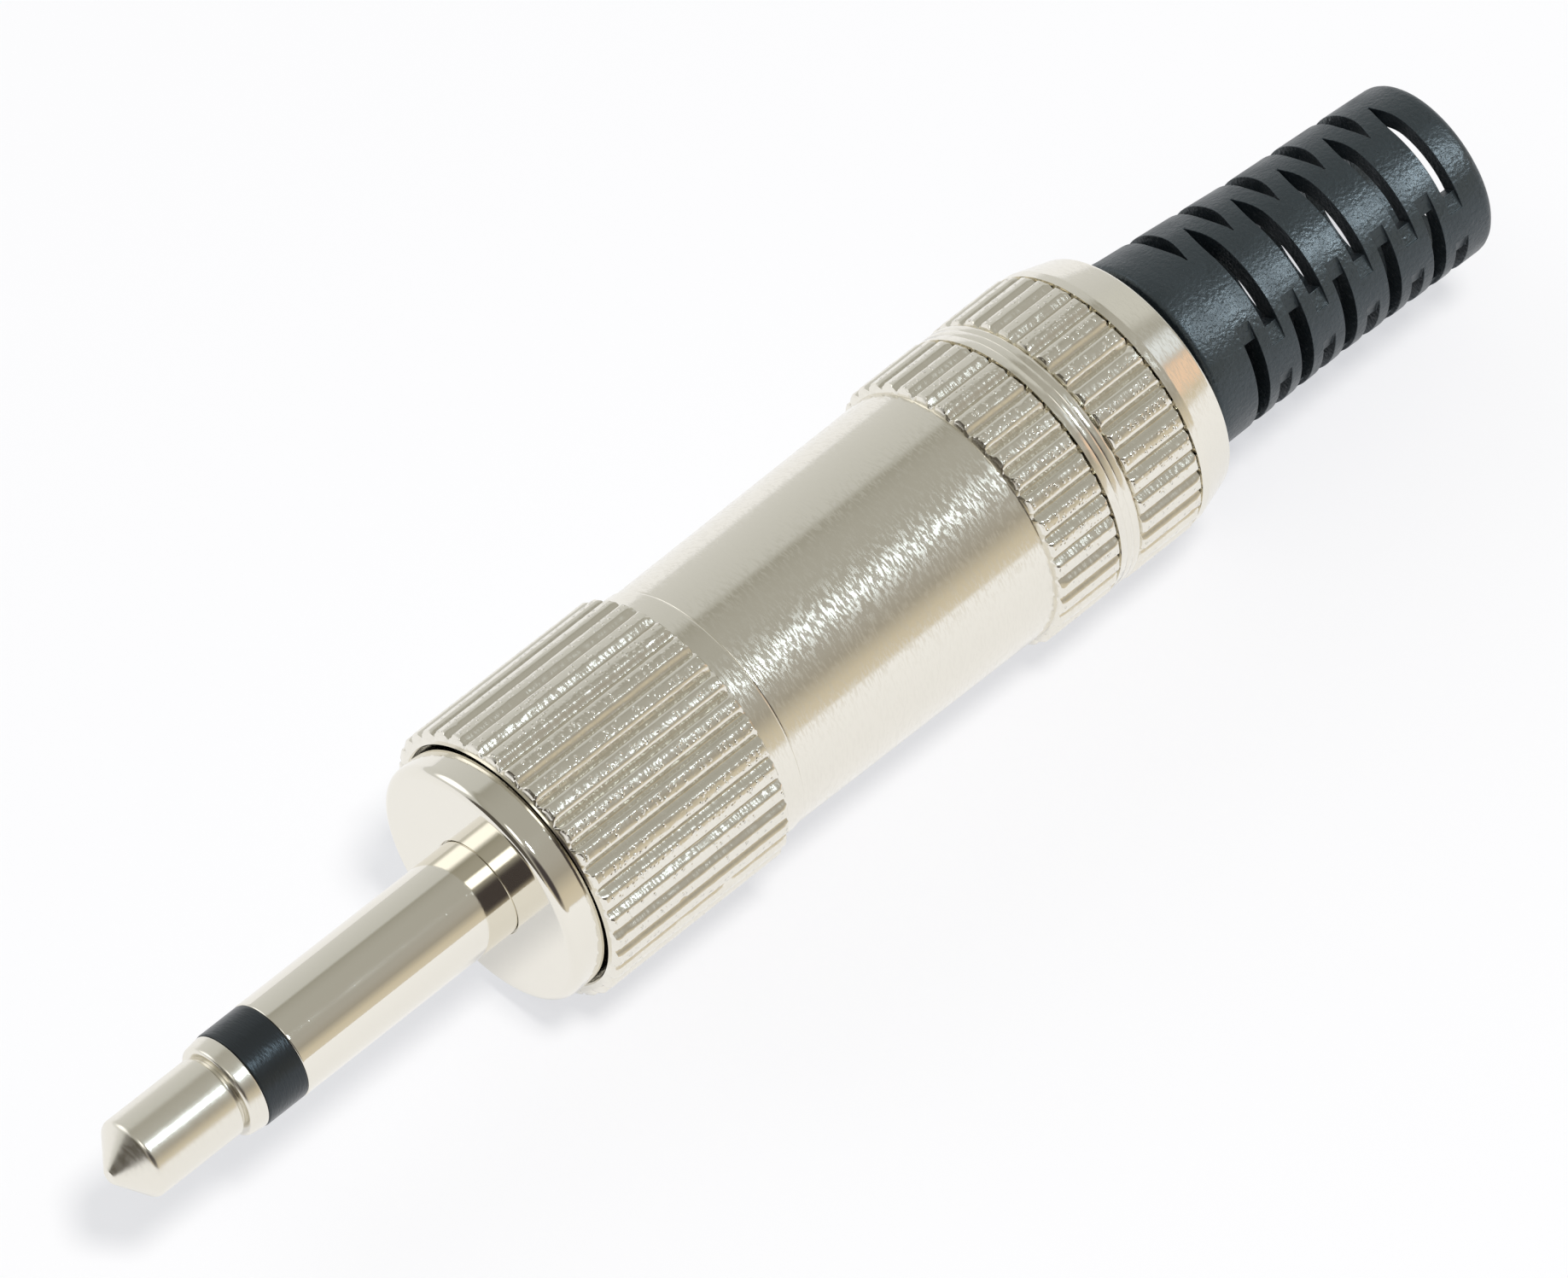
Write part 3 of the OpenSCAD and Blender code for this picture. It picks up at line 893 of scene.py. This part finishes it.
# %% [markdown]
# ## Turning marks
#
# A lathe tool leaves fine rings, and the polisher takes off only their tops.
# A wave texture would make them too even, so noise is squeezed along the axis and left long round it.
# The same rings drive height and roughness, as they do on metal.

# %% Turning marks
RING_STRETCH = (15, 3.6, 3.6)
STREAKS = (0.44, 0.62)


def make_turning_marks():
    """Fine rings that the tool leaves round the axis."""
    tree, ins, outs = group(
        "turning_marks", [("Depth", 0.001), ("Smooth", 0.1), ("Dull", 0.25)], ["Height", "Roughness"])
    rings = noise_node(tree, in_mm(tree, RING_STRETCH), detail=1)
    height = math_node(tree, "MULTIPLY", rings, ins.outputs["Depth"])
    tree.links.new(height, outs.inputs["Height"])
    spread = math_node(tree, "SUBTRACT", ins.outputs["Dull"], ins.outputs["Smooth"])
    dulled = math_node(tree, "MULTIPLY", ramp(tree, rings, *STREAKS), spread)
    roughness = math_node(tree, "ADD", ins.outputs["Smooth"], dulled)
    tree.links.new(roughness, outs.inputs["Roughness"])
    return tree


turning_marks = make_turning_marks()
print("effect:", turning_marks.name)

# %% [markdown]
# ## Grain
#
# Plating and moulded plastic have a fine grain, and their dullness wanders from place to place.
# One noise gives the grain's height and a wider one the wandering roughness.
# How fine the grain is stays an input, because plastic is far coarser than plating.

# %% Grain
WANDER_STRETCH = (0.9, 0.9, 0.9)


def make_plating_grain():
    """Grain of a surface, so many to the mm, and roughness that wanders."""
    inputs = [("Depth", 0.001), ("Fine", 14.0), ("Rough", 0.1), ("Wander", 0.05)]
    tree, ins, outs = group("plating_grain", inputs, ["Height", "Roughness"])
    fine = noise_node(tree, in_mm(tree), detail=2, scale=ins.outputs["Fine"])
    wide = noise_node(tree, in_mm(tree, WANDER_STRETCH), detail=3)
    height = math_node(tree, "MULTIPLY", fine, ins.outputs["Depth"])
    tree.links.new(height, outs.inputs["Height"])
    spread = math_node(tree, "MULTIPLY", math_node(tree, "SUBTRACT", wide, 0.5), ins.outputs["Wander"])
    roughness = math_node(tree, "ADD", spread, ins.outputs["Rough"], clamp=True)
    tree.links.new(roughness, outs.inputs["Roughness"])
    return tree


plating_grain = make_plating_grain()
print("effect:", plating_grain.name)

# %% [markdown]
# ## Dots on the ridges
#
# The knurling wheel presses the flanks smooth, but between its teeth the ridge tops stay torn and dotted.
# Modelled dots would need millions of faces, so a bump made of small cells stands in for them.
# A mask keeps it to places far enough out that also face away from the axis.

# %% Ridge dimples
FLANK_TO_TOP = (0.35, 0.12)
TOP_BELOW = (0.055, 0.025)
DOT_STRETCH = (7.5, 6.5, 6.5)
DOT_EDGE = (0.5, 0.12)
DOTS_KEPT = (0.4, 0.6)
TORN_STRETCH = (9, 9, 9)
TORN_SHARE = 0.12


def ridge_top(tree):
    """1 on the ridge tops, 0 on the flanks and in the grooves."""
    arm = vector_node(tree, "MULTIPLY", in_mm(tree), (0, 1, 1))["Vector"]
    radius = vector_node(tree, "LENGTH", arm)["Value"]
    round_axis = vector_node(tree, "CROSS_PRODUCT", (1, 0, 0), arm)["Vector"]
    round_axis = vector_node(tree, "NORMALIZE", round_axis)["Vector"]
    facing = tree.nodes.new("ShaderNodeNewGeometry")
    lean = vector_node(tree, "DOT_PRODUCT", round_axis, facing.outputs["Normal"])["Value"]
    flat = ramp(tree, math_node(tree, "ABSOLUTE", lean), *FLANK_TO_TOP)
    far_out = ramp(tree, radius, *(KNURL_R - below for below in TOP_BELOW))
    return math_node(tree, "MULTIPLY", flat, far_out)


def make_ridge_dimples():
    """Torn dots on the ridge tops, which the knurling wheel never touched."""
    tree, ins, outs = group("ridge_dimples", [("Depth", 0.02)], ["Height", "Top"])
    top = ridge_top(tree)
    cells = tree.nodes.new("ShaderNodeTexVoronoi")
    cells.inputs["Scale"].default_value = 1.0
    tree.links.new(in_mm(tree, DOT_STRETCH), cells.inputs["Vector"])
    dots = ramp(tree, cells.outputs["Distance"], *DOT_EDGE)
    kept = ramp(tree, cells.outputs["Color"], *DOTS_KEPT)
    torn = math_node(tree, "MULTIPLY", noise_node(tree, in_mm(tree, TORN_STRETCH), detail=1), TORN_SHARE)
    rough = math_node(tree, "ADD", math_node(tree, "MULTIPLY", dots, kept), torn)
    height = math_node(tree, "MULTIPLY", math_node(tree, "MULTIPLY", rough, top), ins.outputs["Depth"])
    tree.links.new(height, outs.inputs["Height"])
    tree.links.new(top, outs.inputs["Top"])
    return tree


ridge_dimples = make_ridge_dimples()
print("effect:", ridge_dimples.name)

# %% [markdown]
# ## Hairlines
#
# Handling leaves sparse fine scratches that run askew to the axis.
# Single lines could be drawn one by one, but noise stretched very long gives the same look at once.
# Two directions keep the scratches from looking combed.

# %% Hairlines
SCRATCHES = ((25, (0.7, 22, 22)), (-50, (0.6, 18, 18)))
SCRATCH_TWIST = 0.7
SCRATCH_EDGE = (0.68, 0.76)


def make_hairlines():
    """Sparse hairline scratches that run askew."""
    tree, ins, outs = group("hairlines", [("Depth", 0.002)], ["Height"])
    total = 0.0
    for turn, stretch in SCRATCHES:
        spin = tree.nodes.new("ShaderNodeVectorRotate")
        spin.rotation_type = "EULER_XYZ"
        spin.inputs["Rotation"].default_value = (0, math.radians(turn), math.radians(turn * SCRATCH_TWIST))
        tree.links.new(in_mm(tree), spin.inputs["Vector"])
        drawn_out = vector_node(tree, "MULTIPLY", spin.outputs["Vector"], stretch)["Vector"]
        line = ramp(tree, noise_node(tree, drawn_out, detail=1), *SCRATCH_EDGE)
        total = math_node(tree, "ADD", total, line)
    tree.links.new(math_node(tree, "MULTIPLY", total, ins.outputs["Depth"]), outs.inputs["Height"])
    return tree


hairlines = make_hairlines()
print("effect:", hairlines.name)

# %% [markdown]
# ## Materials
#
# A material here is one Principled shader with the effects placed in front of it.
# Each effect gives a height in millimetres, and a bump turns that into a leaning of the surface.
# Real displacement would cost far more faces for marks of a thousandth of a millimetre.


# %% Material helpers
def material(name, colour, metallic=0.0):
    """A new material, with its node tree and its Principled shader."""
    made = bpy.data.materials.new(name)
    made.use_nodes = True
    shader = made.node_tree.nodes["Principled BSDF"]
    shader.inputs["Base Color"].default_value = colour
    shader.inputs["Metallic"].default_value = metallic
    return made, made.node_tree, shader


def use(tree, effect, **values):
    """Outputs of an effect that is placed in a material with its own values."""
    node = tree.nodes.new("ShaderNodeGroup")
    node.node_tree = effect
    for label, value in values.items():
        node.inputs[label].default_value = value
    return node.outputs


def surface(tree, shader, height, roughness):
    """Heights in mm as a bump, and a roughness that is a number or a socket."""
    node = tree.nodes.new("ShaderNodeBump")
    node.inputs["Distance"].default_value = MM
    node.inputs["Strength"].default_value = 1.0
    tree.links.new(height, node.inputs["Height"])
    tree.links.new(node.outputs["Normal"], shader.inputs["Normal"])
    feed(tree, shader.inputs["Roughness"], roughness)


def paint(made, *pieces):
    """Gives the material to the pieces, in place of any other."""
    for piece in pieces:
        piece.data.materials.clear()
        piece.data.materials.append(made)
    print(made.name, "on", ", ".join(piece.name for piece in pieces))


# %% [markdown]
# ## Polished nickel
#
# All metal outside is brass under nickel, a warm grey, and differs only in how smooth it was left.
# The sleeve and the disc are buffed to a mirror.
# A perfect mirror would look drawn, so a trace of grain and a few hairlines break it up.

# %% Polished nickel
NICKEL = (0.84, 0.81, 0.73, 1)

polished, tree, shader = material("polished_nickel", NICKEL, metallic=1.0)
grain = use(tree, plating_grain, Depth=0.0003, Rough=0.06, Wander=0.06)
lines = use(tree, hairlines, Depth=0.0002)
surface(tree, shader, math_node(tree, "ADD", grain["Height"], lines["Height"]), grain["Roughness"])
paint(polished, sleeve, disc)

# %% [markdown]
# ## Turned nickel
#
# The tip looks plated as it came off the lathe: duller than the sleeve and faintly ringed.
# More roughness alone would make it look cast, so the turning marks are what dulls it.

# %% Turned nickel of the tip
turned, tree, shader = material("turned_nickel", NICKEL, metallic=1.0)
marks = use(tree, turning_marks, Depth=0.0005, Smooth=0.22, Dull=0.27)
surface(tree, shader, marks["Height"], marks["Roughness"])
paint(turned, tip)

# %% [markdown]
# ## Satin nickel
#
# The barrel keeps more of its turning marks, which break the lamps into a long field of glitter.
# An anisotropic shader would smear that glitter into a plain band, so the marks are a real bump.
# On the ridge tops the dots take over from the marks.

# %% Satin nickel of the barrel
RIDGE_DOTS = 0.024

satin, tree, shader = material("satin_nickel", NICKEL, metallic=1.0)
marks = use(tree, turning_marks, Depth=0.001, Smooth=0.11, Dull=0.27)
dimples = use(tree, ridge_dimples, Depth=RIDGE_DOTS)
off_tops = math_node(tree, "SUBTRACT", 1.0, dimples["Top"])
plain_marks = math_node(tree, "MULTIPLY", marks["Height"], off_tops)
surface(tree, shader, math_node(tree, "ADD", plain_marks, dimples["Height"]), marks["Roughness"])
paint(satin, barrel)

# %% [markdown]
# ## Knurled nickel
#
# The nose ring and the cap were left a little brighter than the barrel, with the same dotted ridges.
# They could share the barrel's material, but their rims would then be too dull.

# %% Knurled nickel
knurled, tree, shader = material("knurled_nickel", NICKEL, metallic=1.0)
marks = use(tree, turning_marks, Depth=0.001, Smooth=0.11, Dull=0.24)
dimples = use(tree, ridge_dimples, Depth=RIDGE_DOTS)
surface(tree, shader, math_node(tree, "ADD", marks["Height"], dimples["Height"]), marks["Roughness"])
paint(knurled, nose, cap)

# %% [markdown]
# ## Black plastics
#
# The ring is smooth hard plastic that was turned, and the boot is softer, moulded and scuffed.
# Black plastic shows little but its sheen, which is cool here, so the sheen is tinted and not the black.
# A dull grey would flatten the boot, and a wandering roughness gives it worn and fresh patches.

# %% Black ring and washer
BLUE_SHEEN = (0.78, 0.92, 1.0, 1)

ring_black, tree, shader = material("ring_black", (0.012, 0.014, 0.017, 1))
shader.inputs["Specular Tint"].default_value = BLUE_SHEEN
surface(tree, shader, use(tree, turning_marks, Depth=0.012)["Height"], 0.3)
paint(ring_black, ring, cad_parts["lug_washer"])

# %% Black boot
boot_black, tree, shader = material("boot_black", (0.010, 0.014, 0.018, 1))
shader.inputs["Specular IOR Level"].default_value = 0.8
shader.inputs["Specular Tint"].default_value = BLUE_SHEEN
grain = use(tree, plating_grain, Depth=0.028, Fine=7, Rough=0.4, Wander=0.35)
lines = use(tree, hairlines, Depth=0.02)
surface(tree, shader, math_node(tree, "ADD", grain["Height"], lines["Height"]), grain["Roughness"])
paint(boot_black, boot)

# %% [markdown]
# ## Parts inside
#
# The two lugs are tinned sheet and the liner is a pale plastic tube.
# They show only when the plug is opened, so a plain grain is enough for both.

# %% Parts inside
tinned, tree, shader = material("tinned_sheet", (0.78, 0.77, 0.74, 1), metallic=1.0)
grain = use(tree, plating_grain, Depth=0.004, Fine=4, Rough=0.33, Wander=0.3)
surface(tree, shader, grain["Height"], grain["Roughness"])
paint(tinned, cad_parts["sleeve_lug"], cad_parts["tip_lug"])

liner, tree, shader = material("liner_plastic", (0.70, 0.68, 0.60, 1))
grain = use(tree, plating_grain, Depth=0.006, Fine=3, Rough=0.45, Wander=0.25)
surface(tree, shader, grain["Height"], grain["Roughness"])
paint(liner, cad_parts["barrel_liner"])

# %% [markdown]
# ## Floor
#
# The plug lies on plain white that is nearly blown out and keeps only a soft shadow.
# More light would whiten the floor too, but it would burn out the metal.
# So the floor glows a little for the camera and in reflections, and is plain matte white to the lamps.

# %% Floor
FLOOR_SIZE = 3.0
FLOOR_GLOW = 0.62
FLOOR_PAINT = (0.93, 0.93, 0.94, 1)
FLOOR_LIGHT = (0.94, 0.955, 1.0, 1)

bpy.ops.mesh.primitive_plane_add(size=FLOOR_SIZE, location=(0, 0, 0))
floor = bpy.context.object
floor.name = "floor"
floor_white = bpy.data.materials.new("floor_white")
floor_white.use_nodes = True
tree = floor_white.node_tree
tree.nodes.clear()
matte = tree.nodes.new("ShaderNodeBsdfDiffuse")
matte.inputs["Color"].default_value = FLOOR_PAINT
glow = tree.nodes.new("ShaderNodeEmission")
glow.inputs["Color"].default_value = FLOOR_LIGHT
ray = tree.nodes.new("ShaderNodeLightPath").outputs
direct = math_node(tree, "ADD", ray["Is Camera Ray"], ray["Is Glossy Ray"], clamp=True)
direct = math_node(tree, "ADD", direct, ray["Is Transmission Ray"], clamp=True)
blend = tree.nodes.new("ShaderNodeMixShader")
result = tree.nodes.new("ShaderNodeOutputMaterial")
tree.links.new(math_node(tree, "MULTIPLY", direct, FLOOR_GLOW), blend.inputs["Fac"])
tree.links.new(matte.outputs[0], blend.inputs[1])
tree.links.new(glow.outputs[0], blend.inputs[2])
tree.links.new(blend.outputs[0], result.inputs["Surface"])
paint(floor_white, floor)

# %% [markdown]
# ## Light tent
#
# Bright metal shows little but its surroundings, so their tones make most of what is seen on the plug.
# It stands in a tent with pale walls low down, a greyer roof and a warm near side.
# Real walls could be modelled, but a world of tones by direction has no seams and casts no shadows.
# The tones run in long strips beside the plug, as a turned mirror gathers them.

# %% Tent directions
LEAST_OFF_AXIS = 0.1

world = bpy.data.worlds.new("light_tent")
bpy.context.scene.world = world
world.use_nodes = True
tree = world.node_tree
tree.nodes.clear()
direction = tree.nodes.new("ShaderNodeTexCoord").outputs["Generated"]
split = tree.nodes.new("ShaderNodeSeparateXYZ")
tree.links.new(direction, split.inputs[0])
along = math_node(tree, "MULTIPLY", split.outputs["X"], split.outputs["X"])
across = math_node(tree, "MAXIMUM", math_node(tree, "SUBTRACT", 1.0, along), LEAST_OFF_AXIS)
off_axis = math_node(tree, "SQRT", across)
height = math_node(tree, "DIVIDE", split.outputs["Z"], off_axis)
side = math_node(tree, "DIVIDE", split.outputs["Y"], off_axis)
print("world:", world.name)


# %% Tent walls
def tones(stops):
    """Colours of long strips beside the plug, as (height as seen along the axis, colour)."""
    node = tree.nodes.new("ShaderNodeValToRGB")
    while len(node.color_ramp.elements) < len(stops):
        node.color_ramp.elements.new(0.5)
    for element, (at, colour) in zip(node.color_ramp.elements, stops):
        element.position = at
        element.color = (*colour, 1)
    tree.links.new(height, node.inputs["Fac"])
    return node.outputs["Color"]


def mix(factor, a, b):
    """One colour over another by a factor; a colour is a triple or a socket."""
    node = tree.nodes.new("ShaderNodeMix")
    node.data_type = "RGBA"
    tree.links.new(factor, node.inputs["Factor"])
    colours_in = [socket for socket in node.inputs if socket.type == "RGBA"]
    for socket, value in zip(colours_in, (a, b)):
        feed(tree, socket, (*value, 1) if isinstance(value, tuple) else value)
    return next(socket for socket in node.outputs if socket.type == "RGBA")


FAR_WALL = [
    (0.0, (0.72, 0.72, 0.70)), (0.73, (0.62, 0.62, 0.59)), (0.81, (0.60, 0.60, 0.57)),
    (0.86, (0.38, 0.37, 0.32)), (1.0, (0.45, 0.44, 0.395)),
]
NEAR_WALL = [
    (0.0, (0.74, 0.67, 0.54)), (0.22, (0.66, 0.59, 0.46)), (0.46, (0.40, 0.37, 0.31)),
    (0.66, (0.44, 0.42, 0.375)), (1.0, (0.45, 0.44, 0.395)),
]
ROOF_SEAM = 0.27
tent = mix(ramp(tree, side, -ROOF_SEAM, ROOF_SEAM), tones(NEAR_WALL), tones(FAR_WALL))
print(f"tent walls: {len(FAR_WALL)} tones far, {len(NEAR_WALL)} near")

# %% [markdown]
# ## Cards in the tent
#
# Product photographers hang cards and leave gaps to draw dark and bright shapes into bright metal.
# The same is done here with soft round patches, each in one direction and with its own tone.
# Cards modelled as planes would cast shadows of their own, and these patches cast none.

# %% Cards
CARDS = [
    ("dark near the tip", (-0.40, -0.78, 0.45), 14, 34, (0.07, 0.06, 0.06)),
    ("bright beyond the tip", (-0.42, 0.78, 0.47), 10, 22, (1.5, 1.5, 1.5)),
    ("bright in the roof", (-0.42, -0.22, 0.88), 6, 12, (2.0, 2.0, 1.95)),
    ("dark ahead of the tip", (-0.95, 0.05, 0.17), 25, 32, (0.10, 0.09, 0.075)),
    ("pale beyond the boot", (0.80, 0.30, 0.52), 8, 18, (0.66, 0.66, 0.62)),
    ("cool behind the boot", (0.84, -0.25, 0.48), 4, 10, (0.85, 0.90, 0.94)),
    ("warm near the boot", (0.83, -0.485, 0.275), 5, 12, (0.95, 0.70, 0.52)),
]
WHITE = (1.0, 1.0, 1.0)


def card(base, toward, inner, outer, colour):
    """A soft round patch of another tone in one direction; angles in degrees."""
    facing = vector_node(tree, "DOT_PRODUCT", direction, tuple(Vector(toward).normalized()))["Value"]
    inside, outside = math.cos(math.radians(inner)), math.cos(math.radians(outer))
    return mix(ramp(tree, facing, outside, inside), base, colour)


for _, *place_and_tone in CARDS:
    tent = card(tent, *place_and_tone)
seen = tree.nodes.new("ShaderNodeLightPath")
tent = mix(seen.outputs["Is Camera Ray"], tent, WHITE)
background = tree.nodes.new("ShaderNodeBackground")
result = tree.nodes.new("ShaderNodeOutputWorld")
tree.links.new(tent, background.inputs["Color"])
tree.links.new(background.outputs[0], result.inputs["Surface"])
print("cards:", ", ".join(name for name, *_ in CARDS))

# %% [markdown]
# ## Lamps
#
# A broad lamp overhead leans towards the viewer, leaves a narrow soft shadow and never shows in the metal.
# A distant lamp on the viewer's side strikes the glitter in the satin and the knurls.
# Black plastic needs far more light for its sheen than bright metal bears, so the boot has its own lamp.
# The last two only glint: they add nothing to what is matte.


# %% Lamps
def lamp(name, toward, distance, size, power, colour):
    """A round lamp in one direction that shines at the plug and isn't seen itself."""
    data = bpy.data.lights.new(name, "AREA")
    data.shape = "DISK"
    data.size = size
    data.energy = power
    data.color = colour
    made = bpy.data.objects.new(name, data)
    bpy.context.scene.collection.objects.link(made)
    made.location = Vector(toward).normalized() * distance
    made.rotation_euler = (-Vector(toward)).to_track_quat("-Z", "Y").to_euler()
    made.visible_camera = False
    print(f"{name}: {power} W from {distance} m")
    return made


tent_lamp = lamp("tent_lamp", (-0.02, -0.34, 0.94), 0.8, 0.2, 4.25, (1.0, 0.975, 0.93))
tent_lamp.visible_glossy = False
glint_lamp = lamp("glint_lamp", (0.235, -0.495, 0.85), 2.0, 0.32, 6.0, (0.775, 0.90, 1.0))
boot_lamp = lamp("boot_lamp", (0.60, -0.46, 0.68), 0.14, 0.035, 0.062, (0.92, 0.97, 1.0))
for sparkle in (glint_lamp, boot_lamp):
    sparkle.visible_diffuse = False
only_boot = bpy.data.collections.new("lit_by_boot_lamp")
only_boot.objects.link(boot)
boot_lamp.light_linking.receiver_collection = only_boot

# %% [markdown]
# ## Camera
#
# The plug is seen from above, from its tip's side, with a slight roll.
# A wide lens close by would splay the long edges, so a long lens from afar keeps the bands parallel.

# %% Camera
CAMERA_AT = Vector((-146.213, -160.080, 280.509)) * MM
LOOK_AT = Vector((0.201, 0.256, 5.025)) * MM
CAMERA_ROLL = math.radians(-2.4686)
LENS = 255.0
SENSOR = 36.0
NEAREST = 0.01

camera_data = bpy.data.cameras.new("camera")
camera_data.lens = LENS
camera_data.sensor_width = SENSOR
camera_data.clip_start = NEAREST
camera = bpy.data.objects.new("camera", camera_data)
bpy.context.scene.collection.objects.link(camera)
camera.location = CAMERA_AT
camera.rotation_mode = "QUATERNION"
toward_plug = (LOOK_AT - CAMERA_AT).to_track_quat("-Z", "Y")
camera.rotation_quaternion = toward_plug @ Quaternion((0, 0, 1), CAMERA_ROLL)
bpy.context.scene.camera = camera
bpy.context.scene.view_settings.view_transform = "Standard"
print(f"camera: {LENS:.0f} mm lens, {(LOOK_AT - CAMERA_AT).length / MM:.0f} mm away")
